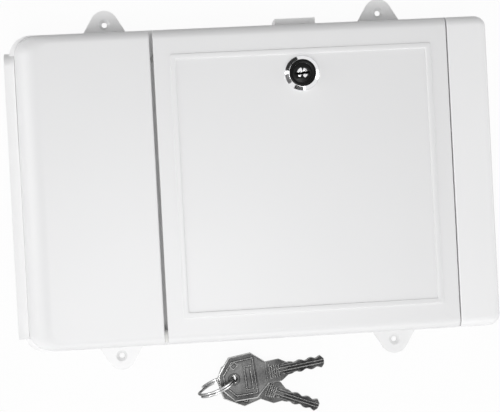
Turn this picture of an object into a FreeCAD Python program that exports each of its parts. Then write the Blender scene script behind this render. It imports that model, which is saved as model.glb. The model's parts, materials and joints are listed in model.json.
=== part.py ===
import FreeCAD, Part
import os
import re
import Sketcher
from FreeCAD import Placement, Rotation, Vector

# Key cabinet, lying on its back as it would on a table. Millimetres.
# +X is to the right, +Y to the top of the cabinet when it hangs on a wall, +Z out of its front.
# The origin is at the centre of the back face. The loose keys lie on the same plane, below it.

document = FreeCAD.newDocument("KeyCabinet")
sheet = document.addObject("Spreadsheet::Sheet", "sizes")

sizes = [
    ("body_wide", 250, "outside width of the cabinet"),
    ("body_high", 165.8, "outside height of the cabinet"),
    ("body_deep", 50, "from the back face to the front panels"),
    ("wall", 2, "wall of every moulding"),
    ("floor_thick", 2.5, "back panel of the tray"),
    ("tray_deep", 34.5, "from the back face to the rim of the tray"),
    ("corner_left", 11, "corner radius of the tray at the left"),
    ("corner_right", 6, "corner radius of the tray at the right"),
    ("rim_step", 1.4, "rim of the tray above and below the covers and the door"),
    ("rim_side", 0.7, "rim of the tray outside the right cover"),
    ("rim_lip", 1, "thickness of the inner edge of the long rims"),
    ("left_cover_wide", 73.2, "from the left rim to the right face of the left cover"),
    ("left_gap", 1.8, "open gap between the left cover and the door"),
    ("door_wide", 152.9, "width of the door"),
    ("right_gap", 0.6, "gap between the door and the right cover"),
    ("door_lift", 1.5, "gap between the door and the rim of the tray"),
    ("front_round", 5.2, "radius of the long front edges"),
    ("left_round", 14, "radius of the left front edge"),
    ("right_round", 2.2, "radius of the right front edge"),
    ("frame_wide", 2.8, "width of the raised frame on the door"),
    ("frame_proud", 0.5, "height of the raised frame on the door"),
    ("frame_side", 8.5, "from the side of the door to the raised frame"),
    ("frame_top", 13.2, "from the top of the door to the raised frame"),
    ("frame_bottom", 13.5, "from the bottom of the door to the raised frame"),
    ("ear_span_wide", 152, "distance between the ear holes, along X"),
    ("ear_out", 8.3, "from the side of the cabinet to an ear hole"),
    ("ear_thick", 2.5, "thickness of an ear"),
    ("ear_round", 7.7, "radius of the end of an ear"),
    ("ear_lean", 31, "angle of the sides of an ear, in degrees"),
    ("ear_hole", 3, "diameter of an ear hole"),
    ("ear_sink", 6.2, "diameter of the countersink"),
    ("grip_long", 149.6, "length of the grip on the left side"),
    ("grip_drop", 0.6, "how far the grip sits below the middle"),
    ("grip_out", 2.7, "how far the grip stands out of the rim"),
    ("grip_wide", 5.4, "width of the front of the grip"),
    ("grip_round", 7, "radius of the upper end of the grip"),
    ("grip_end", 1.5, "radius of the lower end of the grip"),
    ("grip_rise", 2.6, "how far the grip stands above the rim"),
    ("slit", 0.12, "slit between the grip and the left cover"),
    ("ledge_wide", 6, "ledge beside each partition"),
    ("ledge_thick", 2, "thickness of the ledges"),
    ("post_round", 4, "radius of the cover posts"),
    ("post_in", 9, "from the outside of a cover to its posts"),
    ("post_web", 4, "solid end of a tray post"),
    ("post_bore", 3.4, "radius of the screw pocket in a tray post"),
    ("screw_round", 1.5, "radius of the cover screws"),
    ("screw_grip", 7, "length of screw in a cover post"),
    ("head_round", 2.9, "radius of the screw heads"),
    ("head_thick", 1.8, "thickness of the screw heads"),
    ("loose", 0.15, "clearance round a screw or a washer"),
    ("hinge_in", 4.6, "from the bottom and the front of the door to its hinge axis"),
    ("pin_round", 1.5, "radius of the hinge pins"),
    ("pin_play", 0.08, "clearance of the door on its pins"),
    ("pin_end", 1.5, "hinge pin inside the door and inside the cover"),
    ("spacer_round", 3.3, "radius of the hinge spacers"),
    ("spacer_play", 0.1, "clearance each side of a hinge spacer"),
    ("lock_drop", 26.1, "from the top of the door to the lock axis"),
    ("bezel_round", 9.25, "outer radius of the lock bezel"),
    ("bezel_top", 7.4, "outer radius of the front of the bezel"),
    ("bezel_foot", 0.7, "straight foot of the bezel, under its slope"),
    ("bezel_proud", 2.3, "height of the bezel over the panel"),
    ("face_round", 7, "radius of the black lock face"),
    ("face_seat", 0.9, "seat of the lock face over the panel"),
    ("face_thick", 1, "thickness of the lock face"),
    ("barrel_round", 6.6, "radius of the lock barrel"),
    ("barrel_long", 19, "lock barrel behind the front of the door"),
    ("plug_round", 5.2, "radius of the turning plug"),
    ("plug_play", 0.08, "clearance of the plug in the barrel"),
    ("keyway_wide", 7.4, "width of the keyway"),
    ("keyway_high", 2, "height of the keyway"),
    ("keyway_deep", 17, "depth of the keyway"),
    ("guide_round", 2.7, "radius of the bright inserts beside the keyway"),
    ("guide_thick", 0.8, "thickness of those inserts"),
    ("wafer_wide", 8.8, "width of a wafer"),
    ("wafer_high", 4.8, "height of a wafer"),
    ("wafer_thick", 0.8, "thickness of a wafer"),
    ("wafer_step", 2.6, "distance between wafers"),
    ("nut_round", 9.4, "radius over the corners of the lock nut"),
    ("nut_thick", 4, "thickness of the lock nut"),
    ("tail_side", 5, "side of the square tail of the plug"),
    ("cam_thick", 2, "thickness of the cam"),
    ("cam_reach", 21, "from the lock axis to the end of the cam"),
    ("cam_wide", 11, "width of the cam"),
    ("washer_round", 4.2, "radius of the cam washer"),
    ("washer_thick", 0.8, "thickness of the cam washer"),
    ("catch_wide", 21.6, "width of the catch housing on the top side"),
    ("catch_out", 4, "how far the catch housing stands out"),
    ("catch_back", 12, "from the back face to the catch housing"),
    ("catch_front", 28, "from the back face to the front of the catch housing"),
    ("strike_thick", 1.5, "thickness of the strike plate"),
    ("strike_wide", 18, "width of the strike plate"),
    ("strike_lip", 6, "depth of the lip that the cam turns behind"),
    ("strike_gap", 1.1, "gap between the cam and the strike lip"),
    ("strike_screw", 1.2, "radius of the strike and rail screws"),
    ("rail_long", 132, "length of a hook rail"),
    ("rail_high", 12, "height of a hook rail"),
    ("rail_thick", 1.5, "thickness of a hook rail"),
    ("rail_stand", 8, "from the back face to a hook rail"),
    ("rail_step", 46, "distance between hook rails"),
    ("rail_top", 27.15, "from the top of the tray to the first hook rail"),
    ("hook_step", 22, "distance between hooks"),
    ("hook_round", 0.9, "radius of the hook wire"),
    ("hook_out", 12, "length of a hook"),
    ("hook_up", 4, "upturned end of a hook"),
    ("foot_round", 2, "radius of the foot of a hook"),
    ("foot_thick", 0.8, "thickness of the foot of a hook"),
    ("label_high", 4.6, "height of a number strip"),
    ("label_thick", 0.5, "thickness of a number strip"),
    ("buffer_round", 2.6, "radius of a door buffer"),
    ("buffer_gap", 0.3, "gap between a buffer and the closed door"),
    ("key_thick", 1.8, "thickness of a key"),
    ("key_long", 52.2, "from the ring hole of a key to its tip"),
    ("blade_high", 7.1, "height of the key blade"),
    ("bow_high", 25.4, "height of the key bow"),
    ("bow_back", 8.2, "from the ring hole to the end of the bow"),
    ("bow_front", 11.4, "from the ring hole to the front corners of the bow"),
    ("key_hole", 2.5, "radius of the ring hole"),
    ("ring_round", 10.2, "radius of the split ring, to the wire's centre"),
    ("wire_round", 0.7, "radius of the split ring's wire"),
]

aliases = set()
for row, (alias, amount, meaning) in enumerate(sizes, start=1):
    sheet.set(f"A{row}", meaning)
    sheet.set(f"B{row}", str(amount))
    sheet.setAlias(f"B{row}", alias)
    aliases.add(alias)
document.recompute()

# Places that several pieces share, worked out from the sizes.
seam_left = "(left_cover_wide - body_wide/2)"
door_left = f"({seam_left} + left_gap)"
door_right = f"({door_left} + door_wide)"
seam_right = f"({door_right} + right_gap)"
door_back = "(tray_deep + door_lift)"
door_middle = f"({door_left} + door_wide/2)"
long_sides = ("(rim_step - body_high/2)", "(body_high/2 - rim_step)")
lock_y = f"({long_sides[1]} - lock_drop)"
hinge_y = f"({long_sides[0]} + hinge_in)"
hinge_z = "(body_deep - hinge_in)"
barrel_back = "(body_deep - barrel_long)"
face_front = "(body_deep + face_seat + face_thick)"
cam_front = f"({barrel_back} - 0.4)"
cam_back = f"({cam_front} - cam_thick)"
lip_back = f"({cam_front} + strike_gap)"
strike_y = "(body_high/2 - wall)"
strike_z = "((catch_back + catch_front)/2)"
rail_front = "(rail_stand + rail_thick)"
cover_left = "(grip_wide - grip_out + slit - body_wide/2)"
post_right = f"(({seam_right} + body_wide/2)/2)"
left_posts = [
    (x, f"{side}*(body_high/2 - rim_step - post_in)")
    for x in ("(post_in + 5 - body_wide/2)", f"({seam_left} - post_in)")
    for side in (-1, 1)
]
right_posts = [(post_right, f"{side}*(body_high/2 - rim_step - post_in)") for side in (-1, 1)]
hook_places = [f"({door_middle} + {step}*hook_step)" for step in (-2.5, -1.5, -0.5, 0.5, 1.5, 2.5)]
rail_rows = {
    "top": "(body_high/2 - rail_top)",
    "middle": "(body_high/2 - rail_top - rail_step)",
    "bottom": "(body_high/2 - rail_top - 2*rail_step)",
}

# The two keys lie in one sloping plane, one over the other, on the ring that carries them.
ring_centre = Vector(-25.3, -110.15, 0)
ring_turn = 21
ring_lean = 8
keys_slope = 9.9
keys_heading = -7.85
key_spread = 14.25
key_level = 1.3

pieces = {}


def bound(text):
    """The expression with each size written as a cell of the sheet."""
    return re.sub(r"[a-z_]+", lambda word: f"sizes.{word[0]}" if word[0] in aliases else word[0], str(text))


def number(text):
    return float(sheet.evalExpression(bound(text)))


def bind(thing, **texts):
    for prop, text in texts.items():
        thing.setExpression(prop, bound(text))
    return thing


def put(thing, x=0, y=0, z=0):
    for axis, text in zip("xyz", (x, y, z)):
        thing.setExpression(f".Placement.Base.{axis}", bound(text))
    return thing


def piece(node, thing):
    """Name the finished object after its node and keep it for the export."""
    thing.Label = node
    pieces[node] = thing
    return thing


def block(name, x, y, z):
    """A box between the two ends that are given along each axis."""
    thing = document.addObject("Part::Box", name)
    bind(thing, Length=f"{x[1]} - ({x[0]})", Width=f"{y[1]} - ({y[0]})", Height=f"{z[1]} - ({z[0]})")
    return put(thing, x[0], y[0], z[0])


turns = {"x": Rotation(Vector(0, 1, 0), 90), "y": Rotation(Vector(1, 0, 0), -90), "z": Rotation()}


def rod(name, radius, start, length, axis="z"):
    thing = document.addObject("Part::Cylinder", name)
    bind(thing, Radius=radius, Height=length)
    thing.Placement = Placement(Vector(), turns[axis])
    return put(thing, *start)


def taper(name, back_radius, front_radius, start, length):
    thing = document.addObject("Part::Cone", name)
    bind(thing, Radius1=back_radius, Radius2=front_radius, Height=length)
    return put(thing, *start)


def fuse(name, parts):
    if len(parts) == 1:
        return parts[0]
    thing = document.addObject("Part::MultiFuse", name)
    thing.Shapes = parts
    return thing


def cut(name, base, tools):
    thing = document.addObject("Part::Cut", name)
    thing.Base = base
    thing.Tool = fuse(name + "_tools", tools)
    return thing


def group(name, parts):
    thing = document.addObject("Part::Compound", name)
    thing.Links = parts
    return thing


def tube(name, outer, inner, start, length, axis="z"):
    return cut(name, rod(name + "_outer", outer, start, length, axis),
               [rod(name + "_bore", inner, start, length, axis)])


def plate(name, corners, back, front):
    """A sketched outline of straight lines in the XY plane, padded from back to front."""
    body = document.addObject("PartDesign::Body", name)
    sketch = body.newObject("Sketcher::SketchObject", name + "_outline")
    plane = next(each for each in body.Origin.OriginFeatures if each.Role == "XY_Plane")
    sketch.AttachmentSupport = [(plane, "")]
    sketch.MapMode = "FlatFace"
    sketch.setExpression(".AttachmentOffset.Base.z", bound(back))
    places = [Vector(number(x), number(y), 0) for x, y in corners]
    count = len(places)
    for index, place in enumerate(places):
        sketch.addGeometry(Part.LineSegment(place, places[(index + 1) % count]), False)
    for index in range(count):
        sketch.addConstraint(Sketcher.Constraint("Coincident", index, 2, (index + 1) % count, 1))
    for index, (x, y) in enumerate(corners):
        for kind, text in (("DistanceX", x), ("DistanceY", y)):
            spot = sketch.addConstraint(Sketcher.Constraint(kind, index, 1, number(text)))
            sketch.setExpression(f"Constraints[{spot}]", bound(text))
    pad = body.newObject("PartDesign::Pad", name + "_pad")
    pad.Profile = sketch
    bind(pad, Length=f"{front} - ({back})")
    document.recompute()
    return body


def round_uprights(body, radius, x, label):
    """Fillet the edges along Z that stand at the given x."""
    base = body.Tip
    place = number(x)
    names = [
        f"Edge{index}" for index, edge in enumerate(base.Shape.Edges, start=1)
        if edge.BoundBox.XLength < 0.001 and edge.BoundBox.YLength < 0.001
        and abs(edge.BoundBox.XMin - place) < 0.01
    ]
    fillet = body.newObject("PartDesign::Fillet", body.Name + label)
    fillet.Base = (base, names)
    bind(fillet, Radius=radius)
    document.recompute()


def slab(name, x, y, z, left_corner=None, right_corner=None):
    """A block whose upright edges can be rounded at the left, the right or both."""
    corners = [(x[0], y[0]), (x[1], y[0]), (x[1], y[1]), (x[0], y[1])]
    body = plate(name, corners, z[0], z[1])
    if left_corner:
        round_uprights(body, left_corner, x[0], "_left")
    if right_corner:
        round_uprights(body, right_corner, x[1], "_right")
    return body


def long_round(name, y, side, radius, front, x):
    """What is cut away to round a front edge that runs along X; side is 1 at the top."""
    centre_y = f"({y} - {side}*{radius})"
    ends = (centre_y, f"({y} + {side})") if side > 0 else (f"({y} + {side})", centre_y)
    waste = block(name + "_waste", (f"{x[0]} - 1", f"{x[1]} + 1"), ends, (f"{front} - {radius}", f"{front} + 1"))
    return cut(name, waste, [rod(name + "_arc", radius, (f"{x[0]} - 2", centre_y, f"{front} - {radius}"),
                                 f"{x[1]} - ({x[0]}) + 4", "x")])


def side_round(name, x, side, radius, front, y):
    """What is cut away to round a front edge that runs along Y; side is 1 at the right."""
    centre_x = f"({x} - {side}*{radius})"
    ends = (centre_x, f"({x} + {side})") if side > 0 else (f"({x} + {side})", centre_x)
    waste = block(name + "_waste", ends, (f"{y[0]} - 1", f"{y[1]} + 1"), (f"{front} - {radius}", f"{front} + 1"))
    return cut(name, waste, [rod(name + "_arc", radius, (centre_x, f"{y[0]} - 2", f"{front} - {radius}"),
                                 f"{y[1]} - ({y[0]}) + 4", "y")])


def dome(name, x, y, z, corners, rounds):
    """A slab with its front edges rounded: rounds gives the long edges, the left and the right."""
    whole = slab(name + "_slab", x, y, z, *corners)
    tools = [long_round(f"{name}_top", y[1], 1, rounds[0], z[1], x),
             long_round(f"{name}_bottom", y[0], -1, rounds[0], z[1], x)]
    if rounds[1]:
        tools.append(side_round(f"{name}_left", x[0], -1, rounds[1], z[1], y))
    if rounds[2]:
        tools.append(side_round(f"{name}_right", x[1], 1, rounds[2], z[1], y))
    return cut(name, whole, tools)


def screw(name, start, radius, length, axis="z", way=1):
    """A pan-head screw whose head bears at start; the shank runs along the axis, or against it."""
    along = "xyz".index(axis)
    head_at = list(start)
    shank_at = list(start)
    if way > 0:
        head_at[along] = f"{start[along]} - head_thick"
    else:
        shank_at[along] = f"{start[along]} - {length}"
    head = rod(name + "_head", "head_round", head_at, "head_thick", axis)
    shank = rod(name + "_shank", radius, shank_at, length, axis)
    slot_from = list(start)
    slot_from[along] = f"{start[along]} - {'head_thick' if way > 0 else '-head_thick + 0.6'}"
    reach = {axis: (slot_from[along], f"{slot_from[along]} + 0.6")}
    across = [each for each in "xyz" if each != axis]
    long_at = start["xyz".index(across[0])]
    thin_at = start["xyz".index(across[1])]
    reach[across[0]] = (f"{long_at} - head_round", f"{long_at} + head_round")
    reach[across[1]] = (f"{thin_at} - 0.4", f"{thin_at} + 0.4")
    return cut(name, fuse(name + "_solid", [head, shank]),
               [block(name + "_slot", reach["x"], reach["y"], reach["z"])])


def make_ear(name, across, side):
    """One fixing ear: a round end about the hole, with sides that widen from it to the tray."""
    x = f"{across}*ear_span_wide/2"
    y = f"{side}*(body_high/2 + ear_out)"
    root = f"{side}*(body_high/2 - wall)"
    half_end = "ear_round*cos(ear_lean)"
    shoulder = f"{side}*(body_high/2 + ear_out + ear_round*sin(ear_lean))"
    half_root = f"({half_end} + (wall + ear_out + ear_round*sin(ear_lean))*tan(ear_lean))"
    corners = [(f"{x} - {side}*{half_root}", root), (f"{x} + {side}*{half_root}", root),
               (f"{x} + {side}*{half_end}", shoulder), (f"{x} - {side}*{half_end}", shoulder)]
    tab = plate(name + "_root", corners, 0, "ear_thick")
    solid = fuse(name, [tab, rod(name + "_end", "ear_round", (x, y, 0), "ear_thick")])
    bore = rod(name + "_bore", "ear_hole/2", (x, y, -1), "ear_thick + 2")
    sink = taper(name + "_sink", "ear_hole/2", "ear_sink/2",
                 (x, y, "ear_thick - (ear_sink - ear_hole)/2"), "(ear_sink - ear_hole)/2")
    return solid, [bore, sink]


def make_grip():
    """The long bulge on the left side, with its ends rounded towards the front."""
    front = "(tray_deep + grip_rise)"
    x = ("(-body_wide/2 - grip_out)", "(-body_wide/2 - grip_out + grip_wide)")
    y = ("(-grip_long/2 - grip_drop)", "(grip_long/2 - grip_drop)")
    whole = block("grip_block", x, y, (8, front))
    return cut("grip", whole, [long_round("grip_top", y[1], 1, "grip_round", front, x),
                               long_round("grip_bottom", y[0], -1, "grip_end", front, x)])


def make_tray():
    """The back moulding: tray, partitions, ledges, posts, ears, grip and catch housing."""
    half_wide, half_high = "body_wide/2", "body_high/2"
    inside = (f"1 - {half_high}", f"{half_high} - 1")
    ledge = ("tray_deep - ledge_thick", "tray_deep")
    within = (f"wall - {half_high}", f"{half_high} - wall")
    mouth = (f"{cover_left} + wall", f"{half_wide} - wall")
    rounds = ("corner_left - wall", "corner_right - wall")
    shell = cut("tray_shell", slab("tray_outer", (f"-{half_wide}", half_wide), (f"-{half_high}", half_high),
                                   (0, "tray_deep"), "corner_left", "corner_right"),
                [slab("tray_inner", (f"wall - {half_wide}", f"{half_wide} - wall"), within,
                      ("floor_thick", ledge[0]), *rounds),
                 slab("tray_mouth", mouth, within, (f"{ledge[0]} - 1", "tray_deep - rim_lip"), *rounds),
                 slab("tray_edge", mouth, (f"{long_sides[0]} + wall", f"{long_sides[1]} - wall"),
                      ("tray_deep - rim_lip - 0.5", "tray_deep + 1"), *rounds)])
    solids = [
        shell,
        make_grip(),
        block("left_partition", (f"{seam_left} - wall", seam_left), inside, (1, "tray_deep")),
        block("right_partition", (seam_right, f"{seam_right} + wall"), inside, (1, "tray_deep")),
        block("left_ledge", (f"{seam_left} - 1", f"{seam_left} + ledge_wide"), inside, ledge),
        block("right_ledge", (f"{seam_right} - ledge_wide", f"{seam_right} + 1"), inside, ledge),
        block("catch_housing", (f"{door_middle} - catch_wide/2", f"{door_middle} + catch_wide/2"),
              (f"{half_high} - 1", f"{half_high} + catch_out"), ("catch_back", "catch_front")),
    ]
    bores = []
    for index, (x, y) in enumerate(left_posts + right_posts):
        solids.append(rod(f"post_{index}", "post_round + 0.8", (x, y, 1), "tray_deep - 1"))
        bores.append(rod(f"post_hole_{index}", "screw_round + loose", (x, y, -1), "tray_deep + 2"))
        bores.append(rod(f"post_pocket_{index}", "post_bore", (x, y, -1), "tray_deep - post_web + 1"))
    for row, y in rail_rows.items():
        for index, x in enumerate((hook_places[0], hook_places[-1])):
            place = f"({x} + {(index*2 - 1)*7})"
            solids.append(rod(f"boss_{row}_{index}", "post_round", (place, y, 1), "rail_stand - 1"))
            bores.append(rod(f"boss_hole_{row}_{index}", "strike_screw", (place, y, "floor_thick"), "rail_stand"))
    for index in (-1, 1):
        bores.append(rod(f"strike_hole_{index + 1}", "strike_screw",
                         (f"{door_middle} + {index}*strike_wide/3", f"{strike_y} - 1", strike_z), 6, "y"))
    for index, (across, side) in enumerate([(-1, 1), (1, 1), (-1, -1), (1, -1)]):
        ear, holes = make_ear(f"ear_{index}", across, side)
        solids.append(ear)
        bores += holes
    piece("back_tray", cut("back_tray", fuse("tray_solid", solids), bores))


def make_cover(node, x, corners, rounds, posts, pin_from):
    """A fixed cover: a hollow dome with screw posts and a hinge pin hole in its inner wall."""
    y = long_sides
    inner_x = (f"({x[0]} + wall)", f"({x[1]} - wall)")
    inner_y = (f"({y[0]} + wall)", f"({y[1]} - wall)")
    thinner = [f"({each} - wall)" if each else None for each in corners]
    outer = dome(node + "_outer", x, y, ("tray_deep", "body_deep"), corners, rounds)
    inner_rounds = [f"({each} - wall)" if each and number(each) > 2.5 else None for each in rounds]
    inner = dome(node + "_inner", inner_x, inner_y, ("tray_deep - 1", "body_deep - wall"), thinner, inner_rounds)
    shell = cut(node + "_shell", outer, [inner])
    height = "body_deep - wall/2 - tray_deep"
    columns = [rod(f"{node}_post_{index}", "post_round", (*at, "tray_deep"), height)
               for index, at in enumerate(posts)]
    trimmed = document.addObject("Part::MultiCommon", node + "_posts")
    trimmed.Shapes = [fuse(node + "_columns", columns), outer]
    holes = [rod(f"{node}_hole_{index}", "screw_round", (*at, "tray_deep - 1"), "screw_grip + 2")
             for index, at in enumerate(posts)]
    holes.append(rod(node + "_pin_hole", "pin_round", (pin_from, hinge_y, hinge_z),
                     "wall + pin_end + 1", "x"))
    piece(node, cut(node, fuse(node + "_solid", [shell, trimmed]), holes))


def make_covers():
    make_cover("left_cover", (cover_left, seam_left), ("(corner_left - 1)", None),
               ("front_round", "left_round", None), left_posts, f"{seam_left} - wall - pin_end - 0.5")
    make_cover("right_cover", (seam_right, "(body_wide/2 - rim_side)"), (None, "(corner_right - rim_side)"),
               ("front_round", None, "right_round"), right_posts, f"{seam_right} - 0.5")
    for node, posts in (("left_cover_screws", left_posts), ("right_cover_screws", right_posts)):
        screws = [screw(f"{node}_{index}", (*at, "tray_deep - post_web"), "screw_round",
                        "(post_web + screw_grip)") for index, at in enumerate(posts)]
        piece(node, group(node, screws))


def frame_ends(inset, low, high, low_gap, high_gap):
    return (f"({low} + {low_gap} + {inset})", f"({high} - {high_gap} - {inset})")


def make_door():
    """The flap: a hollow dome with a raised frame, two ribs, the lock hole and the pin holes."""
    x, y = (door_left, door_right), long_sides
    inner_x = (f"({door_left} + wall)", f"({door_right} - wall)")
    inner_y = (f"({y[0]} + wall)", f"({y[1]} - wall)")
    outer = dome("door_outer", x, y, (door_back, "body_deep"), (None, None), ("front_round", None, None))
    inner = dome("door_inner", inner_x, inner_y, (f"{door_back} - 1", "body_deep - wall"), (None, None),
                 ("(front_round - wall)", None, None))
    panel = ("(body_deep - wall/2)", "(body_deep + frame_proud)")
    sides, ends = (*x, "frame_side", "frame_side"), (*y, "frame_bottom", "frame_top")
    frame = cut("door_frame", slab("frame_outer", frame_ends(0, *sides), frame_ends(0, *ends), panel, "1", "1"),
                [slab("frame_inner", frame_ends("frame_wide", *sides), frame_ends("frame_wide", *ends),
                      (f"{panel[0]} - 1", f"{panel[1]} + 1"))])
    ribs = [block(f"door_rib_{index}", (f"{door_middle} + {side}*door_wide/4 - wall/2",
                                        f"{door_middle} + {side}*door_wide/4 + wall/2"),
                  (f"{y[0]} + wall/2", f"{y[1]} - wall/2"), ("body_deep - wall - 3", "body_deep - wall/2"))
            for index, side in enumerate((-1, 1))]
    shell = cut("door_shell", outer, [inner])
    holes = [rod("door_lock_hole", "barrel_round + 0.1", (door_middle, lock_y, "body_deep - 10"), 12)]
    for side, place in (("left", f"{door_left} - 1"), ("right", f"{door_right} - wall - 1")):
        holes.append(rod(f"door_pin_{side}", "pin_round + pin_play", (place, hinge_y, hinge_z), "wall + 2", "x"))
    piece("door", cut("door", fuse("door_solid", [shell, frame] + ribs), holes))


def make_hinge():
    """Two pins held in the covers, and the spacers that keep the door off them."""
    left_start = f"{seam_left} - wall - pin_end"
    left_long = "2*wall + 2*pin_end + left_gap"
    right_start = f"{door_right} - wall - pin_end"
    right_long = "2*wall + 2*pin_end + right_gap"
    pins = [rod("pin_left", "pin_round", (left_start, hinge_y, hinge_z), left_long, "x"),
            rod("pin_right", "pin_round", (right_start, hinge_y, hinge_z), right_long, "x")]
    piece("hinge_pins", group("hinge_pins", pins))
    spacers = []
    for name, start, gap in (("spacer_left", seam_left, "left_gap"), ("spacer_right", door_right, "right_gap")):
        spacers.append(tube(name, "spacer_round", "pin_round", (f"{start} + spacer_play", hinge_y, hinge_z),
                            f"{gap} - 2*spacer_play", "x"))
    piece("hinge_spacers", group("hinge_spacers", spacers))


def make_lock():
    """The cam lock in the door: fixed barrel, face and nut, and the plug with what turns on it."""
    at = (door_middle, lock_y)
    foot = rod("bezel_ring", "bezel_round", (*at, "body_deep"), "bezel_foot")
    flange = taper("bezel_cone", "bezel_round", "bezel_top", (*at, "body_deep + bezel_foot"), "bezel_proud - bezel_foot")
    barrel = rod("barrel", "barrel_round", (*at, barrel_back), "barrel_long + 1")
    bore = rod("barrel_bore", "plug_round + plug_play", (*at, f"{barrel_back} - 1"), "barrel_long + 9")
    seat = rod("face_pocket", "face_round", (*at, "body_deep + face_seat"), 5)
    piece("lock_housing", cut("lock_housing", fuse("housing_solid", [foot, flange, barrel]), [bore, seat]))
    face = tube("face_ring", "face_round", "plug_round + plug_play", (*at, "body_deep + face_seat"), "face_thick")
    groove = tube("face_groove", "face_round - 0.7", "face_round - 1.1", (*at, f"{face_front} - 0.3"), 1)
    piece("lock_face", cut("lock_face", face, [groove]))
    hexagon = document.addObject("Part::Prism", "nut_prism")
    hexagon.Polygon = 6
    bind(hexagon, Circumradius="nut_round", Height="nut_thick")
    put(hexagon, *at, "body_deep - wall - nut_thick")
    piece("lock_nut", cut("lock_nut", hexagon, [rod("nut_bore", "barrel_round", (*at, "body_deep - 20"), 30)]))
    make_plug(at)
    make_cam(at)


def keyway(name, at, back, front):
    x, y = at
    return block(name, (f"{x} - keyway_wide/2", f"{x} + keyway_wide/2"),
                 (f"{y} - keyway_high/2", f"{y} + keyway_high/2"), (back, front))


def make_plug(at):
    x, y = at
    front = f"({face_front} - 0.2)"
    keyway_back = f"({front} - keyway_deep)"
    core = rod("plug_core", "plug_round", (x, y, cam_front), f"{front} - {cam_front}")
    tail = block("plug_tail", (f"{x} - tail_side/2", f"{x} + tail_side/2"),
                 (f"{y} - tail_side/2", f"{y} + tail_side/2"), (cam_back, f"{cam_front} + 1"))
    tools = [keyway("plug_keyway", at, keyway_back, f"{front} + 1"),
             rod("guide_pocket", "guide_round", (x, y, f"{front} - guide_thick"), 3),
             rod("plug_thread", "screw_round", (x, y, f"{cam_back} - 1"), 7)]
    wafers = []
    for index in range(4):
        back = f"({front} - 4 - {index}*wafer_step - wafer_thick)"
        slot = (f"{back} - 0.05", f"{back} + wafer_thick + 0.05")
        tools.append(block(f"wafer_slot_{index}", (f"{x} - plug_round", f"{x} + plug_round"),
                           (f"{y} - wafer_high/2 - 0.05", f"{y} + wafer_high/2 + 0.05"), slot))
        whole = block(f"wafer_{index}", (f"{x} - wafer_wide/2", f"{x} + wafer_wide/2"),
                      (f"{y} - wafer_high/2", f"{y} + wafer_high/2"), (back, f"{back} + wafer_thick"))
        window = keyway(f"window_{index}", at, f"{back} - 1", f"{back} + wafer_thick + 1")
        wafers.append(cut(f"wafer_plate_{index}", whole, [window]))
    piece("lock_plug", cut("lock_plug", fuse("plug_solid", [core, tail]), tools))
    piece("plug_wafers", group("plug_wafers", wafers))
    disc = rod("guide_disc", "guide_round", (x, y, f"{front} - guide_thick"), "guide_thick")
    piece("keyway_guides", cut("keyway_guides", disc, [keyway("guide_split", at, "body_deep", "body_deep + 5")]))


def make_cam(at):
    """The cam points to the right when the lock is open and up, behind the strike, when it is locked."""
    x, y = at
    bar = block("cam_bar", (f"{x} - cam_wide/2", f"{x} + cam_reach - 2"),
                (f"{y} - cam_wide/2", f"{y} + cam_wide/2"), (cam_back, cam_front))
    nose = block("cam_nose", (f"{x} + cam_reach - 3", f"{x} + cam_reach"),
                 (f"{y} - cam_wide/3", f"{y} + cam_wide/3"), (cam_back, cam_front))
    hole = block("cam_hole", (f"{x} - tail_side/2", f"{x} + tail_side/2"),
                 (f"{y} - tail_side/2", f"{y} + tail_side/2"), (f"{cam_back} - 1", f"{cam_front} + 1"))
    piece("lock_cam", cut("lock_cam", fuse("cam_solid", [bar, nose]), [hole]))
    washer_back = f"({cam_back} - washer_thick)"
    piece("cam_washer", tube("cam_washer", "washer_round", "screw_round + loose", (x, y, washer_back), "washer_thick"))
    piece("cam_screw", screw("cam_screw", (x, y, washer_back), "screw_round", "washer_thick + 6"))


def make_strike():
    """The steel plate on the top side of the tray; the cam turns in behind its lip."""
    ends = (f"{door_middle} - strike_wide/2", f"{door_middle} + strike_wide/2")
    leg_y = (f"({strike_y} - strike_thick)", strike_y)
    lip_front = f"({lip_back} + strike_thick)"
    # the leg ends below the rim of the tray, and a riser beside it goes on to a lip that stands higher
    leg_front = f"min({lip_front}; tray_deep - rim_lip - loose)"
    foot_back = f"{leg_front} - strike_thick"
    riser_y = (f"{leg_y[0]} - strike_thick", leg_y[0])
    leg = block("strike_leg", ends, leg_y, ("catch_back + 2", leg_front))
    foot = block("strike_foot", ends, (riser_y[0], f"{leg_y[0]} + 0.5"), (foot_back, leg_front))
    riser = block("strike_riser", ends, riser_y, (foot_back, lip_front))
    lip = block("strike_lip", ends, (f"{leg_y[0]} - strike_lip", leg_y[0]), (lip_back, lip_front))
    holes, screws = [], []
    for index in (-1, 1):
        x = f"{door_middle} + {index}*strike_wide/3"
        holes.append(rod(f"leg_hole_{index + 1}", "strike_screw + loose", (x, f"{leg_y[0]} - 1", strike_z), 4, "y"))
        screws.append(screw(f"strike_screw_{index + 1}", (x, leg_y[0], strike_z), "strike_screw",
                            "strike_thick + 4.5", "y"))
    piece("strike_plate", cut("strike_plate", fuse("strike_solid", [leg, foot, riser, lip]), holes))
    piece("strike_screws", group("strike_screws", screws))


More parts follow.
